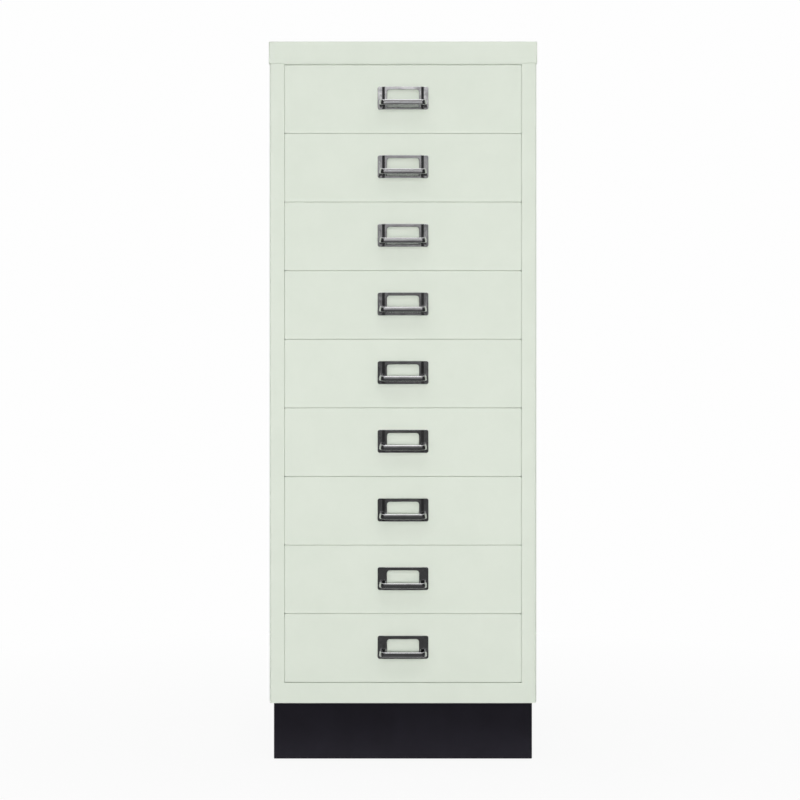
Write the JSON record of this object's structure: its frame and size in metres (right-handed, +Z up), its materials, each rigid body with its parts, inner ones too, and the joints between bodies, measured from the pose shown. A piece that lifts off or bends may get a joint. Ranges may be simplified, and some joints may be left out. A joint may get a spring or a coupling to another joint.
{
  "type": "multi-drawer cabinet",
  "caption": "Tall, narrow steel floor cabinet of equal shallow drawers, each with a chromed label-frame pull, on ball-bearing slides, over a recessed dark plinth.",
  "frame": {"origin": "on the floor, at the bottom centre of the whole object's box, pulls included", "axes": "+Z up, the drawer fronts face -Y, +X to the right of someone facing the fronts"},
  "size_m": [0.349, 0.451, 0.94],
  "materials": {
    "cabinet_paint": "smooth satin paint, pale grey-green",
    "plinth_paint": "matt near-black paint",
    "chrome_plate": "bright chrome plate",
    "zinc_plate": "zinc-plated steel"
  },
  "bodies": {
    "case": {"case_wrap": "cabinet_paint", "back_panel": "cabinet_paint", "top_cap": "cabinet_paint", "plinth": "plinth_paint", "plinth_screws": "zinc_plate", "runner_posts": "zinc_plate", "slide_outer_rails_1": "zinc_plate", "slide_outer_rails_2": "zinc_plate", "slide_outer_rails_3": "zinc_plate", "slide_outer_rails_4": "zinc_plate", "slide_outer_rails_5": "zinc_plate", "slide_outer_rails_6": "zinc_plate", "slide_outer_rails_7": "zinc_plate", "slide_outer_rails_8": "zinc_plate", "slide_outer_rails_9": "zinc_plate"},
    "drawer_1": {"drawer_tray_1": "cabinet_paint", "drawer_front_1": "cabinet_paint", "handle_1": "chrome_plate", "slide_inner_rails_1": "zinc_plate"},
    "retainers_1": {"ball_retainers_1": "zinc_plate"},
    "drawer_2": {"drawer_tray_2": "cabinet_paint", "drawer_front_2": "cabinet_paint", "handle_2": "chrome_plate", "slide_inner_rails_2": "zinc_plate"},
    "retainers_2": {"ball_retainers_2": "zinc_plate"},
    "drawer_3": {"drawer_tray_3": "cabinet_paint", "drawer_front_3": "cabinet_paint", "handle_3": "chrome_plate", "slide_inner_rails_3": "zinc_plate"},
    "retainers_3": {"ball_retainers_3": "zinc_plate"},
    "drawer_4": {"drawer_tray_4": "cabinet_paint", "drawer_front_4": "cabinet_paint", "handle_4": "chrome_plate", "slide_inner_rails_4": "zinc_plate"},
    "retainers_4": {"ball_retainers_4": "zinc_plate"},
    "drawer_5": {"drawer_tray_5": "cabinet_paint", "drawer_front_5": "cabinet_paint", "handle_5": "chrome_plate", "slide_inner_rails_5": "zinc_plate"},
    "retainers_5": {"ball_retainers_5": "zinc_plate"},
    "drawer_6": {"drawer_tray_6": "cabinet_paint", "drawer_front_6": "cabinet_paint", "handle_6": "chrome_plate", "slide_inner_rails_6": "zinc_plate"},
    "retainers_6": {"ball_retainers_6": "zinc_plate"},
    "drawer_7": {"drawer_tray_7": "cabinet_paint", "drawer_front_7": "cabinet_paint", "handle_7": "chrome_plate", "slide_inner_rails_7": "zinc_plate"},
    "retainers_7": {"ball_retainers_7": "zinc_plate"},
    "drawer_8": {"drawer_tray_8": "cabinet_paint", "drawer_front_8": "cabinet_paint", "handle_8": "chrome_plate", "slide_inner_rails_8": "zinc_plate"},
    "retainers_8": {"ball_retainers_8": "zinc_plate"},
    "drawer_9": {"drawer_tray_9": "cabinet_paint", "drawer_front_9": "cabinet_paint", "handle_9": "chrome_plate", "slide_inner_rails_9": "zinc_plate"},
    "retainers_9": {"ball_retainers_9": "zinc_plate"}
  },
  "joints": [
    {"name": "drawer_1_slide", "type": "slide", "parent": "case", "child": "drawer_1", "axis": [0, -1, 0], "range_m": [0, 0.3]},
    {"name": "retainers_1_slide", "type": "slide", "parent": "case", "child": "retainers_1", "axis": [0, -1, 0], "range_m": [0, 0.15]},
    {"name": "drawer_2_slide", "type": "slide", "parent": "case", "child": "drawer_2", "axis": [0, -1, 0], "range_m": [0, 0.3]},
    {"name": "retainers_2_slide", "type": "slide", "parent": "case", "child": "retainers_2", "axis": [0, -1, 0], "range_m": [0, 0.15]},
    {"name": "drawer_3_slide", "type": "slide", "parent": "case", "child": "drawer_3", "axis": [0, -1, 0], "range_m": [0, 0.3]},
    {"name": "retainers_3_slide", "type": "slide", "parent": "case", "child": "retainers_3", "axis": [0, -1, 0], "range_m": [0, 0.15]},
    {"name": "drawer_4_slide", "type": "slide", "parent": "case", "child": "drawer_4", "axis": [0, -1, 0], "range_m": [0, 0.3]},
    {"name": "retainers_4_slide", "type": "slide", "parent": "case", "child": "retainers_4", "axis": [0, -1, 0], "range_m": [0, 0.15]},
    {"name": "drawer_5_slide", "type": "slide", "parent": "case", "child": "drawer_5", "axis": [0, -1, 0], "range_m": [0, 0.3]},
    {"name": "retainers_5_slide", "type": "slide", "parent": "case", "child": "retainers_5", "axis": [0, -1, 0], "range_m": [0, 0.15]},
    {"name": "drawer_6_slide", "type": "slide", "parent": "case", "child": "drawer_6", "axis": [0, -1, 0], "range_m": [0, 0.3]},
    {"name": "retainers_6_slide", "type": "slide", "parent": "case", "child": "retainers_6", "axis": [0, -1, 0], "range_m": [0, 0.15]},
    {"name": "drawer_7_slide", "type": "slide", "parent": "case", "child": "drawer_7", "axis": [0, -1, 0], "range_m": [0, 0.3]},
    {"name": "retainers_7_slide", "type": "slide", "parent": "case", "child": "retainers_7", "axis": [0, -1, 0], "range_m": [0, 0.15]},
    {"name": "drawer_8_slide", "type": "slide", "parent": "case", "child": "drawer_8", "axis": [0, -1, 0], "range_m": [0, 0.3]},
    {"name": "retainers_8_slide", "type": "slide", "parent": "case", "child": "retainers_8", "axis": [0, -1, 0], "range_m": [0, 0.15]},
    {"name": "drawer_9_slide", "type": "slide", "parent": "case", "child": "drawer_9", "axis": [0, -1, 0], "range_m": [0, 0.3]},
    {"name": "retainers_9_slide", "type": "slide", "parent": "case", "child": "retainers_9", "axis": [0, -1, 0], "range_m": [0, 0.15]}
  ],
  "couplings": [
    {"joint": "retainers_1_slide", "follows": "drawer_1_slide", "ratio": 0.5},
    {"joint": "retainers_2_slide", "follows": "drawer_2_slide", "ratio": 0.5},
    {"joint": "retainers_3_slide", "follows": "drawer_3_slide", "ratio": 0.5},
    {"joint": "retainers_4_slide", "follows": "drawer_4_slide", "ratio": 0.5},
    {"joint": "retainers_5_slide", "follows": "drawer_5_slide", "ratio": 0.5},
    {"joint": "retainers_6_slide", "follows": "drawer_6_slide", "ratio": 0.5},
    {"joint": "retainers_7_slide", "follows": "drawer_7_slide", "ratio": 0.5},
    {"joint": "retainers_8_slide", "follows": "drawer_8_slide", "ratio": 0.5},
    {"joint": "retainers_9_slide", "follows": "drawer_9_slide", "ratio": 0.5}
  ]
}
